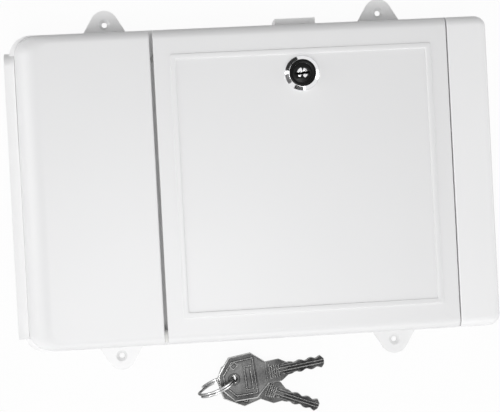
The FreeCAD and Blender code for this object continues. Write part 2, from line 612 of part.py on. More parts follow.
def make_rail(row, y):
    """One hook rail with its number strip and hooks."""
    ends = (f"{door_middle} - rail_long/2", f"{door_middle} + rail_long/2")
    strip = block(f"rail_{row}", ends, (f"{y} - rail_high/2", f"{y} + rail_high/2"), ("rail_stand", rail_front))
    screws, holes = [], []
    for index, x in enumerate((hook_places[0], hook_places[-1])):
        place = f"({x} + {(index*2 - 1)*7})"
        holes.append(rod(f"rail_hole_{row}_{index}", "strike_screw + loose", (place, y, "rail_stand - 1"), 4))
        screws.append(screw(f"rail_screw_{row}_{index}", (place, y, rail_front), "strike_screw",
                            "(rail_thick + 4.5)", way=-1))
    piece(f"hook_rail_{row}", cut(f"hook_rail_{row}", strip, holes))
    label_ends = (f"{hook_places[0]} - 3", f"{hook_places[-1]} + 3")
    label_low = f"({y} + rail_high/2 - 0.7 - label_high)"
    piece(f"number_strip_{row}", block(f"number_strip_{row}", label_ends, (label_low, f"{label_low} + label_high"),
                                       (rail_front, f"{rail_front} + label_thick")))
    hooks = []
    hook_y = f"({y} - rail_high/4)"
    for index, x in enumerate(hook_places):
        foot = rod(f"foot_{row}_{index}", "foot_round", (x, hook_y, rail_front), "foot_thick")
        arm = rod(f"arm_{row}_{index}", "hook_round", (x, hook_y, rail_front), "hook_out")
        tip = rod(f"tip_{row}_{index}", "hook_round", (x, hook_y, f"{rail_front} + hook_out"), "hook_up", "y")
        bend = document.addObject("Part::Sphere", f"bend_{row}_{index}")
        put(bind(bend, Radius="hook_round"), x, hook_y, f"{rail_front} + hook_out")
        hooks.append(fuse(f"hook_{row}_{index}", [foot, arm, tip, bend]))
    piece(f"hooks_{row}", group(f"hooks_{row}", hooks))
    return screws


def make_rails():
    screws = [each for row, y in rail_rows.items() for each in make_rail(row, y)]
    piece("rail_screws", group("rail_screws", screws))


def make_buffers():
    pads = []
    inset = "(buffer_round + buffer_gap)"
    for side, x in (("left", f"{seam_left} + {inset}"), ("right", f"{seam_right} - {inset}")):
        pads.append(rod(f"buffer_{side}", "buffer_round", (x, f"{long_sides[1]} - 14", "tray_deep"),
                        "door_lift - buffer_gap"))
    piece("door_buffers", group("door_buffers", pads))


def key_blank(name):
    """A key flat in its own frame: ring hole at the origin, blade along +X, thickness about Z."""
    upper = [("-bow_back", "bow_high*0.15"), ("-bow_back*0.15", "bow_high*0.48"), ("bow_front", "bow_high/2"),
             ("bow_front + 7.4", "bow_high*0.25"), ("bow_front + 15.2", "blade_high*0.88"),
             ("bow_front + 19.5", "blade_high/2"), ("key_long - 2", "blade_high/2"), ("key_long", "blade_high/5")]
    lower = [(x, f"-({y})") for x, y in reversed(upper)]
    blank = plate(name + "_blank", upper + lower, "-key_thick/2", "key_thick/2")
    notches = [rod(name + "_ring_hole", "key_hole", (0, 0, -3), 6)]
    for index, (from_tip, depth) in enumerate([(4.7, 1), (10.9, 1.2), (17, 0.8)]):
        for side in (-1, 1):
            notches.append(rod(f"{name}_notch_{index}_{side + 1}", 2.6,
                               (f"key_long - {from_tip}", f"{side}*(blade_high/2 + 2.6 - {depth})", -3), 6))
    for side in (-1, 1):
        face = ("key_thick/2 - 0.35", "key_thick") if side > 0 else ("-key_thick", "0.35 - key_thick/2")
        notches.append(block(f"{name}_groove_{side + 1}", ("bow_front + 13", "key_long + 1"),
                             (f"{side}*0.5 - 0.6", f"{side}*0.5 + 0.6"), face))
    return cut(name, blank, notches)


def make_keys():
    """Two equal keys on a split ring, lying on the table beside the cabinet."""
    outer = number("ring_round + wire_round")
    stand = Rotation(Vector(0, 0, 1), ring_turn) * Rotation(Vector(1, 0, 0), 90 + ring_lean)
    axis = stand.multVec(Vector(0, 0, 1))
    height = outer * abs(stand.multVec(Vector(0, 1, 0)).z) + 2 * number("wire_round") * abs(axis.z)
    centre = Vector(ring_centre.x, ring_centre.y, height)
    coils = []
    for index, side in enumerate((-1, 1)):
        coil = document.addObject("Part::Torus", f"coil_{index}")
        bind(coil, Radius1="ring_round", Radius2="wire_round")
        coil.Placement = Placement(centre + axis * (side * 0.95 * number("wire_round")), stand)
        coils.append(coil)
    piece("split_ring", fuse("split_ring", coils))
    slope = Rotation(Vector(0, 0, 1), keys_heading) * Rotation(Vector(0, 1, 0), keys_slope)
    hole = centre + stand.multVec(Vector(number("ring_round"), 0, 0))
    for node, turn, level in (("key_1", key_spread, key_level), ("key_2", -key_spread, -key_level)):
        key = piece(node, key_blank(node))
        lift = slope.multVec(Vector(0, 0, level))
        key.Placement = Placement(hole + lift, slope * Rotation(Vector(0, 0, 1), turn))


def check_and_write():
    document.recompute()
    broken = [each.Name for each in document.Objects if "Invalid" in each.State or "Error" in each.State]
    if broken:
        raise RuntimeError(f"objects that failed: {broken}")
    for node, thing in pieces.items():
        if thing.Shape.isNull() or not thing.Shape.isValid() or not thing.Shape.Solids:
            raise RuntimeError(f"{node} has no valid solid")
    os.makedirs("parts", exist_ok=True)
    for node, thing in pieces.items():
        thing.Shape.exportStep(f"parts/{node}.step")
        print(node, len(thing.Shape.Solids), round(thing.Shape.Volume, 1))


make_tray()
make_covers()
make_door()
make_hinge()
make_lock()
make_strike()
make_rails()
make_buffers()
make_keys()
check_and_write()
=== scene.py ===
import json
import math

import bmesh
import bpy
from mathutils import Matrix, Vector
from mathutils.geometry import tessellate_polygon

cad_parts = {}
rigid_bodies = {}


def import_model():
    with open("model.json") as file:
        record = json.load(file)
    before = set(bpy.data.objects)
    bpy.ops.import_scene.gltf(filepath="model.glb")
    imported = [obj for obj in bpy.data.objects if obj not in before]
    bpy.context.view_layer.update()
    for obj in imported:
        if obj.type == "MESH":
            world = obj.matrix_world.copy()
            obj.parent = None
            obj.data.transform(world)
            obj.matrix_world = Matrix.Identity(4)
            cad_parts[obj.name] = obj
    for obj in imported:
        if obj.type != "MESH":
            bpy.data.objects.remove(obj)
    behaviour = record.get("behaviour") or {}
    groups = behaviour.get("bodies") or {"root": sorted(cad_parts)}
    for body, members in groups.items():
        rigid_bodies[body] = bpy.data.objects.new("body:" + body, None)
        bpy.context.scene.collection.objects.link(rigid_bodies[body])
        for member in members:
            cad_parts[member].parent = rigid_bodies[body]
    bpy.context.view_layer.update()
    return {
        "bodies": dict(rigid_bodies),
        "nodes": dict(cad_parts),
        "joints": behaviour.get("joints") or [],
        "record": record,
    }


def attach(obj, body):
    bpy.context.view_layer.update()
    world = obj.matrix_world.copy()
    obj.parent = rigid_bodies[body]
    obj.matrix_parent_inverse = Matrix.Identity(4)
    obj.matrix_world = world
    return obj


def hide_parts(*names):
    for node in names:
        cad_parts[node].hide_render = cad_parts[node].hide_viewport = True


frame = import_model()
scene = bpy.context.scene
mm = 0.001
print("frame loaded:", len(frame["nodes"]), "nodes")


# shader helpers

class Link:
    # a node's output, with sums written as sums
    def __init__(self, paint, socket):
        self.paint = paint
        self.socket = socket

    def sum(self, operation, first, second):
        return self.paint.node("ShaderNodeMath", {"operation": operation}, {0: first, 1: second})

    def __add__(self, other):
        return self.sum("ADD", self, other)

    def __radd__(self, other):
        return self.sum("ADD", other, self)

    def __sub__(self, other):
        return self.sum("SUBTRACT", self, other)

    def __rsub__(self, other):
        return self.sum("SUBTRACT", other, self)

    def __mul__(self, other):
        return self.sum("MULTIPLY", self, other)

    def __rmul__(self, other):
        return self.sum("MULTIPLY", other, self)


class Paint:
    # a material, or a given node tree, with short ways to add nodes
    def __init__(self, name, color, roughness=0.4, metallic=0.0, tree=None):
        self.material = None if tree else bpy.data.materials.new(name)
        if self.material:
            self.material.use_nodes = True
        self.tree = tree or self.material.node_tree
        self.tree.nodes.clear()
        if tree:
            return
        self.shader = self.tree.nodes.new("ShaderNodeBsdfPrincipled")
        self.end = self.tree.nodes.new("ShaderNodeOutputMaterial")
        self.tree.links.new(self.shader.outputs[0], self.end.inputs[0])
        self.give(self.shader, {"Base Color": (*color, 1), "Roughness": roughness, "Metallic": metallic})

    def give(self, node, values):
        for key, value in values.items():
            if isinstance(value, Link):
                self.tree.links.new(value.socket, node.inputs[key])
            else:
                node.inputs[key].default_value = value

    def node(self, kind, settings=None, values=None, out=0):
        made = self.tree.nodes.new(kind)
        for key, value in (settings or {}).items():
            setattr(made, key, value)
        self.give(made, values or {})
        return Link(self, made.outputs[out])

    def place(self):
        return self.node("ShaderNodeTexCoord", out="Object")

    def stretched(self, scale):
        return self.node("ShaderNodeMapping", values={"Vector": self.place(), "Scale": scale})

    def noise(self, scale, detail=3, vector=None, rough=0.5):
        return self.node("ShaderNodeTexNoise", values={"Vector": vector or self.place(), "Scale": scale,
                                                        "Detail": detail, "Roughness": rough})

    def mix(self, factor, low, high):
        colors = [color if isinstance(color, Link) else (*color, 1) for color in (low, high)]
        values = {0: factor, 6: colors[0], 7: colors[1]}
        return self.node("ShaderNodeMix", {"data_type": "RGBA"}, values, out=2)

    def seen(self):
        # one where a ray comes from the camera, off gloss or through glass
        paths = self.node("ShaderNodeLightPath", out="Is Camera Ray")
        glossy = Link(self, paths.socket.node.outputs["Is Glossy Ray"])
        through = Link(self, paths.socket.node.outputs["Is Transmission Ray"])
        return self.node("ShaderNodeClamp", values={0: paths + glossy + through})

    def bump(self, height, depth, strength=1.0):
        return self.node("ShaderNodeBump", values={"Height": height, "Distance": depth, "Strength": strength})

    def finish(self, **values):
        self.give(self.shader, {key.replace("_", " "): value for key, value in values.items()})
        return self.material


def plasticPaint(name, tone, rough, grain=0.00002, gloss=0.5, paintedShade=0.0):
    # satin moulded plastic: fine even grain, with faint cloudiness in the gloss
    # its last argument paints shade on it: how much greyer it is along its lower edge than along its upper
    # one
    paint = Paint(name, tone, rough)
    paint.give(paint.shader, {"Specular IOR Level": gloss})
    cloud = paint.noise(14, 2)
    fine = paint.noise(2600, 2)
    color = paint.mix(cloud, [value * 0.965 for value in tone], tone)
    # painted shade: the colour darkens towards the lower edge
    if paintedShade:
        height = paint.node("ShaderNodeSeparateXYZ", values={0: paint.place()}, out="Y")
        level = paint.node("ShaderNodeClamp", values={0: 0.5 + height * 5.5})
        color = paint.mix(level, [value * (1 - paintedShade) for value in tone], color)
    return paint.finish(Base_Color=color, Roughness=rough - 0.05 + 0.1 * cloud,
                        Normal=paint.bump(fine, grain, 0.35))


def metalPaint(name, tone, rough, streak=None, scratch=0.00001, dull=0.8):
    # plated or drawn metal: streaks along one way, with uneven gloss
    paint = Paint(name, tone, rough, 1.0)
    lines = paint.noise(1, 4, paint.stretched(streak or (900, 900, 900)))
    cloud = paint.noise(220, 3)
    dark = [value * dull for value in tone]
    return paint.finish(Base_Color=paint.mix(cloud, dark, tone), Roughness=rough - 0.08 + 0.16 * lines,
                        Normal=paint.bump(lines, scratch, 0.5))


def wornPaint(name, dark, bright, rough, patch=0.6):
    # worn bare metal with painted light: dark in the hollows as painted shade, bright along whatever stands
    # proud as painted highlight, partly real rubbing
    paint = Paint(name, bright, rough, 1.0)
    # the attribute holds painted highlights and painted shade as well as real rubbing
    litAndRubbed = paint.node("ShaderNodeAttribute", {"attribute_name": "wear"}, out="Fac")
    blotch = paint.noise(420, 3, rough=0.6)
    grain = paint.noise(1700, 2)
    lines = paint.noise(1, 3, paint.stretched((300, 2600, 2600)))
    broad = paint.noise(120, 1)
    uneven = 0.25 * (grain - 0.5) + 0.35 * (broad - 0.5)
    amount = litAndRubbed * (1 - patch / 2 + patch * blotch) + patch * uneven
    return paint.finish(Base_Color=paint.mix(amount, dark, bright),
                        Roughness=rough - 0.2 * litAndRubbed + 0.12 * (lines - 0.5),
                        Normal=paint.bump(grain + lines, 0.00005, patch))


materials = {
    "white": plasticPaint("white moulding", (0.80, 0.80, 0.805), 0.42),
    # the tray is painted greyer towards its lower edge, as painted shade
    "tray": plasticPaint("white tray", (0.88, 0.88, 0.882), 0.42, paintedShade=0.14),
    "end": plasticPaint("white end cover", (0.87, 0.87, 0.875), 0.42),
    "nylon": plasticPaint("natural nylon", (0.76, 0.76, 0.74), 0.5),
    "black": plasticPaint("black lacquer", (0.006, 0.006, 0.006), 0.3, 0.00001, 0.12),
    "rubber": plasticPaint("pale rubber", (0.62, 0.62, 0.61), 0.7),
    "label": plasticPaint("number strip", (0.82, 0.82, 0.8), 0.5),
    "ink": plasticPaint("number ink", (0.03, 0.03, 0.035), 0.5),
    "chrome": metalPaint("chrome", (0.82, 0.82, 0.83), 0.1, scratch=0.000002, dull=0.97),
    "bright": metalPaint("bright steel", (0.78, 0.78, 0.79), 0.2, scratch=0.000004, dull=0.93),
    # the ring wire and the key metal are painted bright and dark from their attribute: painted highlights and
    # painted shade, partly real wear
    "wire": wornPaint("ring wire", (0.09, 0.09, 0.09), (0.8, 0.8, 0.8), 0.34, 0.15),
    "steel": metalPaint("screw steel", (0.55, 0.56, 0.58), 0.34),
    "zinc": metalPaint("zinc plate", (0.6, 0.61, 0.62), 0.36, (600, 600, 600)),
    "rail": metalPaint("drawn aluminium", (0.72, 0.73, 0.74), 0.34, (25, 2200, 2200)),
    "brass": metalPaint("stamped brass", (0.68, 0.52, 0.26), 0.32),
    "key": wornPaint("key nickel", (0.03, 0.03, 0.031), (0.8, 0.8, 0.79), 0.42, 0.8),
}

nodeFinish = {
    "back_tray": "tray", "left_cover": "white", "right_cover": "end", "door": "white",
    "left_cover_screws": "steel", "right_cover_screws": "steel",
    "hinge_pins": "steel", "hinge_spacers": "nylon",
    "lock_housing": "chrome", "lock_face": "black", "lock_nut": "zinc", "lock_plug": "black",
    "plug_wafers": "brass", "keyway_guides": "bright", "lock_cam": "zinc", "cam_washer": "zinc",
    "cam_screw": "steel", "strike_plate": "zinc", "strike_screws": "steel", "hook_rail_top": "rail",
    "hook_rail_middle": "rail", "hook_rail_bottom": "rail", "number_strip_top": "label",
    "number_strip_middle": "label", "number_strip_bottom": "label", "hooks_top": "bright",
    "hooks_middle": "bright", "hooks_bottom": "bright", "rail_screws": "steel", "door_buffers": "rubber",
    "split_ring": "wire", "key_1": "key", "key_2": "key",
}
nodeBody = {node: body for body, names in frame["record"]["behaviour"]["bodies"].items() for node in names}

for node, finish in nodeFinish.items():
    mesh = frame["nodes"][node].data
    mesh.materials.clear()
    mesh.materials.append(materials[finish])
print("materials made:", len(materials))


# helpers that make and name the pieces

def addPiece(name, mesh, finish, node=None, body=None, smooth=32):
    piece = bpy.data.objects.new(name, mesh)
    scene.collection.objects.link(piece)
    if finish:
        mesh.materials.clear()
        mesh.materials.append(materials[finish])
    if smooth:
        mesh.shade_smooth()
        mesh.set_sharp_from_angle(angle=math.radians(smooth))
    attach(piece, body or nodeBody[node])
    if node:
        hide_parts(node)
    return piece


def held(name, mesh):
    holder = bpy.data.objects.new(name, mesh)
    scene.collection.objects.link(holder)
    return holder


def applied(holder):
    # the evaluated mesh with every modifier baked in; the holder goes
    bpy.context.view_layer.update()
    graph = bpy.context.evaluated_depsgraph_get()
    mesh = bpy.data.meshes.new_from_object(holder.evaluated_get(graph))
    bpy.data.objects.remove(holder)
    return mesh


def softened(node, width, segments=2, angle=38):
    # a copy of the CAD node with its loose triangles joined and its edges rounded
    mesh = frame["nodes"][node].data.copy()
    form = bmesh.new()
    form.from_mesh(mesh)
    bmesh.ops.remove_doubles(form, verts=form.verts, dist=0.000004)
    bmesh.ops.dissolve_limit(form, angle_limit=math.radians(0.6), verts=form.verts, edges=form.edges)
    form.to_mesh(mesh)
    form.free()
    mesh.shade_smooth()
    holder = held(node + "_work", mesh)
    bevel = holder.modifiers.new("edges", "BEVEL")
    bevel.width = width
    bevel.segments = segments
    bevel.limit_method = "ANGLE"
    bevel.angle_limit = math.radians(angle)
    bevel.use_clamp_overlap = True
    weighted = holder.modifiers.new("flat faces", "WEIGHTED_NORMAL")
    weighted.weight = 100
    return applied(holder)


def rotation(degrees, axis, size=3):
    return Matrix.Rotation(math.radians(degrees), size, axis)


def mirrored(points):
    # an outline closed by the same points below the X axis
    return [(x, -y) for x, y in points] + list(reversed(points))


def toMesh(name, form):
    mesh = bpy.data.meshes.new(name)
    form.to_mesh(mesh)
    form.free()
    return mesh


def inset(points, depth):
    # every point of a closed outline moved inwards by the depth, along the mitre of its two sides
    moved = []
    count = len(points)
    for index, point in enumerate(points):
        here = Vector(point)
        back = (here - Vector(points[index - 1])).normalized()
        ahead = (Vector(points[(index + 1) % count]) - here).normalized()
        side = Vector((-back.y - ahead.y, back.x + ahead.x))
        if side.length < 1e-6:
            side = Vector((-back.y, back.x)) * 2
        side.normalize()
        reach = max(0.35, side.dot(Vector((-ahead.y, ahead.x))))
        moved.append(tuple(here + side * depth / reach))
    return moved


def prism(form, outline, low, high, edge=0.0, holes=(), sink=None, steps=1, wear=None):
    # a flat piece between two heights with its front and back edges softened; sizes are in mm
    # a brightness triple gives how bright the flat faces, the softened edges and the upright sides are
    # painted: partly real rubbing, partly painted highlight and painted shade
    layer = None
    if wear:
        colors = form.loops.layers.float_color
        layer = colors.get("wear") or colors.new("wear")
    made = []
    stand = sink or Matrix()
    turned = [list(outline)] + [list(reversed(hole)) for hole in holes]
    rings = []
    bends = [math.pi / 2 * step / steps for step in range(steps + 1)]
    heights = [(low, 0), (high, 0)]
    if edge:
        heights = [(low + edge * (1 - math.cos(bend)), edge * (1 - math.sin(bend))) for bend in bends]
        heights += [(high + low - height, depth) for height, depth in reversed(heights)]
    for height, depth in heights:
        loops = [inset(loop, depth) if depth else loop for loop in turned]
        rings.append([[form.verts.new(stand @ Vector((x * mm, y * mm, height * mm))) for x, y in loop]
                      for loop in loops])
    for level, (lower, upper) in enumerate(zip(rings, rings[1:])):
        for lowLoop, highLoop in zip(lower, upper):
            count = len(lowLoop)
            for index in range(count):
                after = (index + 1) % count
                side = form.faces.new((lowLoop[index], lowLoop[after], highLoop[after], highLoop[index]))
                made.append((side, 2 if level == (len(rings) - 1) // 2 else 1))
    for ring, depth, turn in ((rings[0], heights[0][1], True), (rings[-1], heights[-1][1], False)):
        flat = [inset(loop, depth) if depth else loop for loop in turned]
        made += [(face, 0) for face in capped(form, flat, ring, turn)]
    if wear:
        for face, kind in made:
            for loop in face.loops:
                loop[layer] = (wear[kind], wear[kind], wear[kind], 1)


def capped(form, loops, rings, turn):
    # triangles across an outline and round its holes, facing down where turn is set
    flat = [[Vector((x, y, 0)) for x, y in loop] for loop in loops]
    points = [point for loop in flat for point in loop]
    corners = [vert for ring in rings for vert in ring]
    faces = []
    for triangle in tessellate_polygon(flat):
        first, second, third = (points[index] for index in triangle)
        picked = [corners[index] for index in triangle]
        if ((second - first).cross(third - first).z < 0) != turn:
            picked.reverse()
        faces.append(form.faces.new(picked))
    return faces


def lathe(form, profile, centre, segments=64):
    # a turned piece about the Z axis through the centre; the profile runs from the front axis outwards
    rings = []
    for radius, height in profile:
        points = circle(*centre, radius, segments) if radius else [centre]
        rings.append([form.verts.new((x * mm, y * mm, height * mm)) for x, y in points])
    for inner, outer in zip(rings, rings[1:]):
        for step in range(segments):
            after = (step + 1) % segments
            if len(inner) == 1:
                form.faces.new((inner[0], outer[step], outer[after]))
            elif len(outer) == 1:
                form.faces.new((inner[step], outer[0], inner[after]))
            else:
                form.faces.new((inner[step], outer[step], outer[after], inner[after]))


def circle(x, y, radius, steps=24, start=0.0, sweep=360.0):
    # a whole circle, or an arc with a point at both of its ends
    spans = steps if sweep >= 360 else steps - 1
    bends = [math.radians(start + sweep * step / spans) for step in range(steps)]
    return [(x + radius * math.cos(bend), y + radius * math.sin(bend)) for bend in bends]


def rectangle(left, right, low, high, corner=0.0, steps=5):
    if not corner:
        return [(left, low), (right, low), (right, high), (left, high)]
    points = []
    for x, y, start in ((right - corner, low + corner, 270), (right - corner, high - corner, 0),
                        (left + corner, high - corner, 90), (left + corner, low + corner, 180)):
        points += circle(x, y, corner, steps, start, 90)
    return points


# the white covers and the door are hollow domes, made of level rings; sizes are in mm

def domeRings(form, plan, shrink, flip):
    # the surface of one dome; shrink is how far the inner face lies inside the outer one
    left = plan["x"][0] + shrink
    right = plan["x"][1] - shrink
    low = plan["y"][0] + shrink
    high = plan["y"][1] - shrink
    base = plan["z"][0]
    front = plan["z"][1] - shrink
    rounds = {side: max(size - shrink, 0.2) for side, size in plan["rounds"].items()}
    corners = [max(size - shrink, 0.2) for size in plan["corners"]]
    levels = {base}
    for size in rounds.values():
        steps = max(4, min(22, int(size * 3)))
        bends = [math.pi / 2 * step / steps for step in range(steps + 1)]
        levels |= {round(front - size * (1 - math.sin(bend)), 4) for bend in bends}
    levels = sorted(level for level in levels if level >= base)

    def depthAt(side, level):
        size = rounds[side]
        rise = level - (front - size)
        return 0 if rise <= 0 else size - math.sqrt(max(0, size * size - rise * rise))

    rings = []
    for level, extra in [(level, 0) for level in levels] + [(front, 0.5)]:
        ends = depthAt("ends", level) + extra
        x0 = left + depthAt("left", level) + extra
        x1 = right - depthAt("right", level) - extra
        y0 = low + ends
        y1 = high - ends
        points = []
        leftSize, rightSize = [max(corner - 0.75 * ends, 0.15) for corner in corners]
        for x, y, size, start in ((x1 - rightSize, y0 + rightSize, rightSize, 270),
                                  (x1 - rightSize, y1 - rightSize, rightSize, 0),
                                  (x0 + leftSize, y1 - leftSize, leftSize, 90),
                                  (x0 + leftSize, y0 + leftSize, leftSize, 180)):
            points += circle(x, y, size, 9, start, 90)
        rings.append([form.verts.new((x * mm, y * mm, level * mm)) for x, y in points])
    count = len(rings[0])
    for lower, upper in zip(rings, rings[1:]):
        for index in range(count):
            after = (index + 1) % count
            quad = [lower[index], lower[after], upper[after], upper[index]]
            form.faces.new(reversed(quad) if flip else quad)
    eye = circle(*plan["hole"], 48) if "hole" in plan else []
    rim = [form.verts.new((x * mm, y * mm, front * mm)) for x, y in eye]
    if rim:
        capped(form, [points, eye], [rings[-1], rim], flip)
    else:
        form.faces.new(reversed(rings[-1]) if flip else rings[-1])
    return rings[0], rim


def domeForm(plan):
    form = bmesh.new()
    outer, outerRim = domeRings(form, plan, 0, False)
    inner, innerRim = domeRings(form, plan, plan["wall"], True)
    for first, second in ((inner, outer), (outerRim, innerRim)):
        for index in range(len(first)):
            after = (index + 1) % len(first)
            form.faces.new((first[index], first[after], second[after], second[index]))
    return form


coverPlans = {
    "left_cover": {"x": (-122.18, -51.8), "y": (-81.5, 81.5), "z": (34.5, 50), "wall": 2,
                   "corners": (10, 0.3),
                   "rounds": {"ends": 5.2, "left": 14, "right": 0.45},
                   "posts": [(-111, -72.5), (-111, 72.5), (-60.8, -72.5), (-60.8, 72.5)]},
    "right_cover": {"x": (103.5, 124.3), "y": (-81.5, 81.5), "z": (34.5, 50), "wall": 2,
                    "corners": (0.3, 5.3),
                    "rounds": {"ends": 5.2, "left": 0.4, "right": 2.2},
                    "posts": [(114.25, -72.5), (114.25, 72.5)]},
}
lockPlan = {"at": (26.45, 55.4), "segments": 96, "hole": 6.7}
doorPlan = {"x": (-50, 102.9), "y": (-81.5, 81.5), "z": (36, 50), "corners": (0.3, 0.3), "wall": 2,
            "hole": (*lockPlan["at"], lockPlan["hole"]), "rounds": {"ends": 5.2, "left": 0.45, "right": 0.4},
            "frame": (-41.5, 94.4, -68.0, 68.3), "frameWide": 2.8, "frameBack": 49.4, "frameTop": 50.5,
            "ribs": (-11.775, 64.675), "ribHalf": (1, 80.2), "ribBack": 45, "ribFront": 48.6}
trayPlan = {"edge": 0.35, "bead": [(-122.3, -75.0), (-122.17, -75.0), (-122.17, 12.0), (-122.3, 32.0)],
            "beadZ": (35.8, 36.95)}
postPlan = {"outer": 4, "inner": 1.6, "back": 34.6, "front": 47.2}


def makeCover(node, plan, post):
    form = domeForm(plan)
    for x, y in plan["posts"]:
        prism(form, circle(x, y, post["outer"], 28), post["back"], post["front"], 0.2,
              [circle(x, y, post["inner"], 20)])
    addPiece(node + "_shell", toMesh(node + "_shell", form), nodeFinish[node], node)


def makeDoor(plan):
    form = domeForm(plan)
    left, right, low, high = plan["frame"]
    wide = plan["frameWide"]
    prism(form, rectangle(left, right, low, high, 1.2), plan["frameBack"], plan["frameTop"], 0.4,
          [rectangle(left + wide, right - wide, low + wide, high - wide, 0.5, 3)], steps=4)
    halfX, halfY = plan["ribHalf"]
    for x in plan["ribs"]:
        prism(form, rectangle(x - halfX, x + halfX, -halfY, halfY), plan["ribBack"], plan["ribFront"], 0.3)
    addPiece("door_flap_moulding", toMesh("door_flap_moulding", form), nodeFinish["door"], "door")


def makeTray(plan):
    # the tray, and the bead that fills the lower part of the seam beside the grip
    addPiece("tray_moulding", softened("back_tray", plan["edge"] * mm), "tray", "back_tray", smooth=0)
    form = bmesh.new()
    prism(form, plan["bead"], *plan["beadZ"])
    addPiece("grip_seam_bead", toMesh("grip_seam_bead", form), "tray", body="cabinet",
             smooth=0)


for node, plan in coverPlans.items():
    makeCover(node, plan, postPlan)
makeDoor(doorPlan)
makeTray(trayPlan)
print("covers, door and tray made")


# the lock: heights count from the back of the cabinet, radii from the lock's own axis

housingPlan = {"foot": 9.25, "footEdge": 9.23, "door": 50.0, "seat": 7.02, "seatFloor": 50.9, "top": 52.28,
               "barrel": 6.6, "thread": 6.35, "pitch": 1.1, "turns": 14, "barrelBack": 31.0, "bore": 5.28,
               "cone": {"reach": 2.02, "drop": 1.45, "hollow": 0.16}}
facePlan = {"inner": 5.29, "outer": 7.0, "front": 51.9, "groove": (5.85, 6.25), "grooveFloor": 51.66}
plugPlan = {"round": 5.2, "front": 51.7, "pocket": 2.7, "pocketFloor": 50.88, "slotFloor": 34.7, "back": 30.6,
            "tail": 2.5, "tailBack": 28.6, "tailFront": 30.8, "slotHalf": 3.7, "slotHigh": 1.0, "ward": 0.55,
            "rings": (3.3, 4.1, 4.75), "ringProud": 0.05}
insertPlan = {"back": 50.9, "front": 51.68, "edge": 0.16,
              "above": [(0.28, 0.55), (0.85, 0.9), (1.5, 0.6), (2.55, 0.6), (2.4, 1.2), (1.85, 1.95),
                        (1.2, 2.4), (0.7, 2.5), (0.3, 1.7)],
              "below": [(0.55, -0.95), (1.3, -0.75), (1.5, -1.15), (2.3, -0.85), (2.45, -1.25), (2.05, -1.85),
                        (1.25, -2.3), (0.75, -1.75)]}


def turnedPiece(name, profile, finish, node, smooth):
    # a closed profile turned about the lock's axis and added as a piece
    form = bmesh.new()
    lathe(form, profile, lockPlan["at"], lockPlan["segments"])
    bmesh.ops.remove_doubles(form, verts=form.verts, dist=0.000002)
    addPiece(name, toMesh(name, form), finish, node, smooth=smooth)


def makeHousing(plan):
    # the narrow lip, the hollow-ground cone of the bezel, its foot, and the threaded barrel behind the door
    seat, top, door, barrel = plan["seat"], plan["top"], plan["door"], plan["barrel"]
    foot, back = plan["foot"], plan["barrelBack"]
    profile = [(seat, plan["seatFloor"]), (seat, top - 0.12), (seat + 0.02, top - 0.02), (seat + 0.06, top)]
    cone = plan["cone"]
    inner, high = seat + 0.11, top - 0.03
    profile.append((inner, high))
    profile += [(inner + cone["reach"] * part, high - cone["drop"] * part - cone["hollow"] * part * part)
                for part in (0.03, 0.25, 0.5, 0.75, 1.0)]
    profile += [(plan["footEdge"], door + 0.5), (foot, door + 0.3), (foot, door), (barrel, door)]
    profile.append((barrel, door - 2.1))
    for turn in range(plan["turns"]):
        down = door - 2.6 - turn * plan["pitch"]
        profile += [(plan["thread"], down), (barrel, down - plan["pitch"] / 2)]
    profile += [(barrel, back + 0.4), (barrel - 0.4, back), (plan["bore"], back)]
    profile += [(plan["bore"], plan["seatFloor"]), (seat, plan["seatFloor"])]
    turnedPiece("lock_bezel_and_barrel", profile, "chrome", "lock_housing", 28)


def makeFace(plan, back):
    # the black ring in the bezel, with rounded edges and one groove
    inner, outer, front, floor = plan["inner"], plan["outer"], plan["front"], plan["grooveFloor"]
    first, last = plan["groove"]
    profile = [(inner, back), (inner, front - 0.2), (inner + 0.11, front - 0.08), (first - 0.1, front),
               (first, front), (first + 0.1, floor), (last - 0.1, floor), (last, front),
               (outer - 0.45, front), (outer - 0.15, front - 0.1), (outer, front - 0.35),
               (outer, back), (inner, back)]
    turnedPiece("lock_front_ring", profile, "black", "lock_face", 24)


def pocketOutline(plan, at):
    # the round pocket joined with the wings of the keyway
    points = []
    for x, y in circle(*at, plan["pocket"], 48):
        if abs(y - at[1]) < plan["slotHigh"]:
            x = at[0] + (plan["slotHalf"] if x > at[0] else -plan["slotHalf"])
        points.append((x, y))
    return points


def makePlug(plan, at):
    # the plug's front with its pocket, the keyway slot behind it, the solid back and the square tail
    form = bmesh.new()
    disc = circle(*at, plan["round"], 72)
    half, high, ward = plan["slotHalf"], plan["slotHigh"], plan["ward"]
    slot = [(-half, -high), (-2.2, -high), (-1.9, -ward), (-1.2, -ward), (-0.9, -high), (half, -high),
            (half, high), (1.9, high), (1.6, ward), (0.9, ward), (0.6, high), (-half, high)]
    slot = [(at[0] + x, at[1] + y) for x, y in slot]
    prism(form, disc, plan["pocketFloor"], plan["front"], 0.12, [pocketOutline(plan, at)], steps=2)
    prism(form, disc, plan["slotFloor"], plan["pocketFloor"], 0, [slot])
    prism(form, disc, plan["back"], plan["slotFloor"], 0)
    tail = plan["tail"]
    prism(form, rectangle(at[0] - tail, at[0] + tail, at[1] - tail, at[1] + tail), plan["tailBack"],
          plan["tailFront"], 0.1)
    low = plan["front"] - 0.01
    high = plan["front"] + plan["ringProud"]
    for radius in plan["rings"]:
        ring = [(radius - 0.1, low), (radius - 0.05, high), (radius + 0.05, high), (radius + 0.1, low)]
        lathe(form, ring, at, 72)
    addPiece("lock_plug_turned", toMesh("lock_plug_turned", form), "black", "lock_plug", smooth=30)


def makeInserts(plan, at):
    # two bright facets above the keyway and two smaller ones below it
    form = bmesh.new()
    for half in (-1, 1):
        for facet in (plan["above"], plan["below"]):
            outline = [(at[0] + x * half, at[1] + y) for x, y in facet]
            prism(form, outline, plan["back"], plan["front"], plan["edge"], steps=2)
    addPiece("keyway_inserts", toMesh("keyway_inserts", form), "bright", "keyway_guides", smooth=30)


